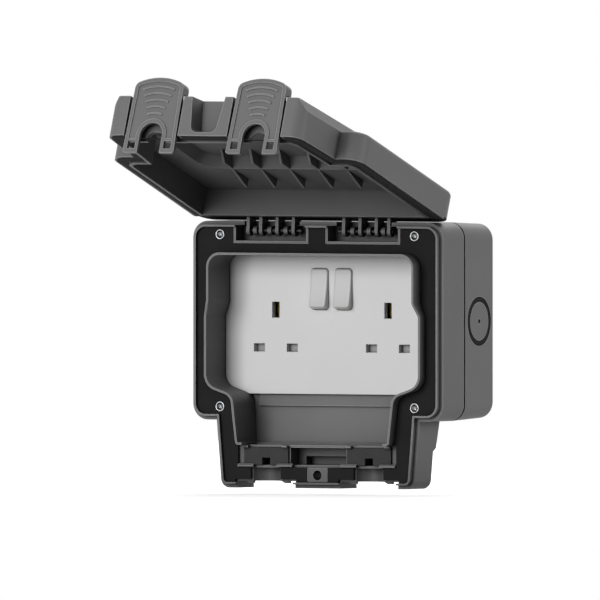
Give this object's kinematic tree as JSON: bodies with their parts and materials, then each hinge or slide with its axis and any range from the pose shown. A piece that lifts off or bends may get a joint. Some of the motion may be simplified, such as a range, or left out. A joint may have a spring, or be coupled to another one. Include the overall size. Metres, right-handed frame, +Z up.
{
  "type": "outdoor weatherproof socket",
  "caption": "Weatherproof wall socket: twin switched outlets in a deep grey enclosure with a hinged, latched lid, rubber seals and a chin that lets the leads out with the lid shut.",
  "frame": {"origin": "centre of the flat back of the wall box, at mid height of the box", "axes": "+Y into the wall, +Z up, +X to the right seen from the front"},
  "size_m": [0.1688, 0.2001, 0.2421],
  "materials": {
    "grey_enclosure": "fine moulded texture",
    "black_rubber": "matt",
    "white_plate": "satin moulded",
    "white_rocker": "satin moulded",
    "grey_shutter": "moulded",
    "insulator": "moulded",
    "brass_contact": "stamped",
    "zinc_screw": "zinc plated",
    "steel_pin": "drawn",
    "brass_plunger": "turned"
  },
  "bodies": {
    "base": {"back_box": "grey_enclosure", "front_frame": "grey_enclosure", "box_gasket": "black_rubber", "face_seal": "black_rubber", "plate_gasket": "black_rubber", "cable_seal_left": "black_rubber", "cable_seal_right": "black_rubber", "socket_plate": "white_plate", "rear_moulding": "insulator", "earth_strap": "brass_contact", "neutral_bar": "brass_contact", "live_contact_left": "brass_contact", "live_contact_right": "brass_contact", "live_feed": "brass_contact", "frame_screws": "zinc_screw", "module_screws": "zinc_screw", "moulding_screws": "zinc_screw", "terminal_screws": "zinc_screw", "hinge_pin_left": "steel_pin", "hinge_pin_right": "steel_pin", "shutter_spring_left": "steel_pin", "shutter_spring_right": "steel_pin"},
    "lid": {"lid": "grey_enclosure", "latch_pin_left": "steel_pin", "latch_pin_right": "steel_pin"},
    "latch_left": {"latch_left": "grey_enclosure"},
    "rocker_left": {"rocker_left": "white_rocker", "rocker_plunger_left": "brass_plunger"},
    "switch_arm_left": {"switch_arm_left": "brass_contact"},
    "shutter_left": {"shutter_left": "grey_shutter"},
    "latch_right": {"latch_right": "grey_enclosure"},
    "rocker_right": {"rocker_right": "white_rocker", "rocker_plunger_right": "brass_plunger"},
    "switch_arm_right": {"switch_arm_right": "brass_contact"},
    "shutter_right": {"shutter_right": "grey_shutter"}
  },
  "joints": [
    {"name": "lid_hinge", "type": "hinge", "parent": "base", "child": "lid", "pos_m": [0, -0.0573, 0.0528], "axis": [-1, 0, 0], "range_deg": [-110, 0]},
    {"name": "latch_left_pivot", "type": "hinge", "parent": "lid", "child": "latch_left", "pos_m": [-0.03475, -0.18704, 0.12556], "axis": [-1, 0, 0], "range_deg": [-2.5, 10], "stiffness_Nm_per_rad": 0.2},
    {"name": "rocker_left_pivot", "type": "hinge", "parent": "base", "child": "rocker_left", "pos_m": [-0.00805, -0.0426, 0.0185], "axis": [1, 0, 0], "range_deg": [0, 16.6]},
    {"name": "switch_arm_left_pivot", "type": "hinge", "parent": "base", "child": "switch_arm_left", "pos_m": [-0.00805, -0.03125, 0.0185], "axis": [1, 0, 0], "range_deg": [-16, 0]},
    {"name": "shutter_left_slide", "type": "slide", "parent": "base", "child": "shutter_left", "axis": [0, 0, -1], "range_m": [0, 0.006], "stiffness_N_per_m": 100, "springref_m": -0.003, "deforming": ["shutter_spring_left"]},
    {"name": "latch_right_pivot", "type": "hinge", "parent": "lid", "child": "latch_right", "pos_m": [0.03475, -0.18704, 0.12556], "axis": [-1, 0, 0], "range_deg": [-2.5, 10], "stiffness_Nm_per_rad": 0.2},
    {"name": "rocker_right_pivot", "type": "hinge", "parent": "base", "child": "rocker_right", "pos_m": [0.00805, -0.0426, 0.0185], "axis": [1, 0, 0], "range_deg": [0, 16.6]},
    {"name": "switch_arm_right_pivot", "type": "hinge", "parent": "base", "child": "switch_arm_right", "pos_m": [0.00805, -0.03125, 0.0185], "axis": [1, 0, 0], "range_deg": [-16, 0]},
    {"name": "shutter_right_slide", "type": "slide", "parent": "base", "child": "shutter_right", "axis": [0, 0, -1], "range_m": [0, 0.006], "stiffness_N_per_m": 100, "springref_m": -0.003, "deforming": ["shutter_spring_right"]}
  ],
  "couplings": [
    {"joint": "switch_arm_left_pivot", "follows": "rocker_left_pivot", "ratio": -0.9638},
    {"joint": "switch_arm_right_pivot", "follows": "rocker_right_pivot", "ratio": -0.9638}
  ]
}
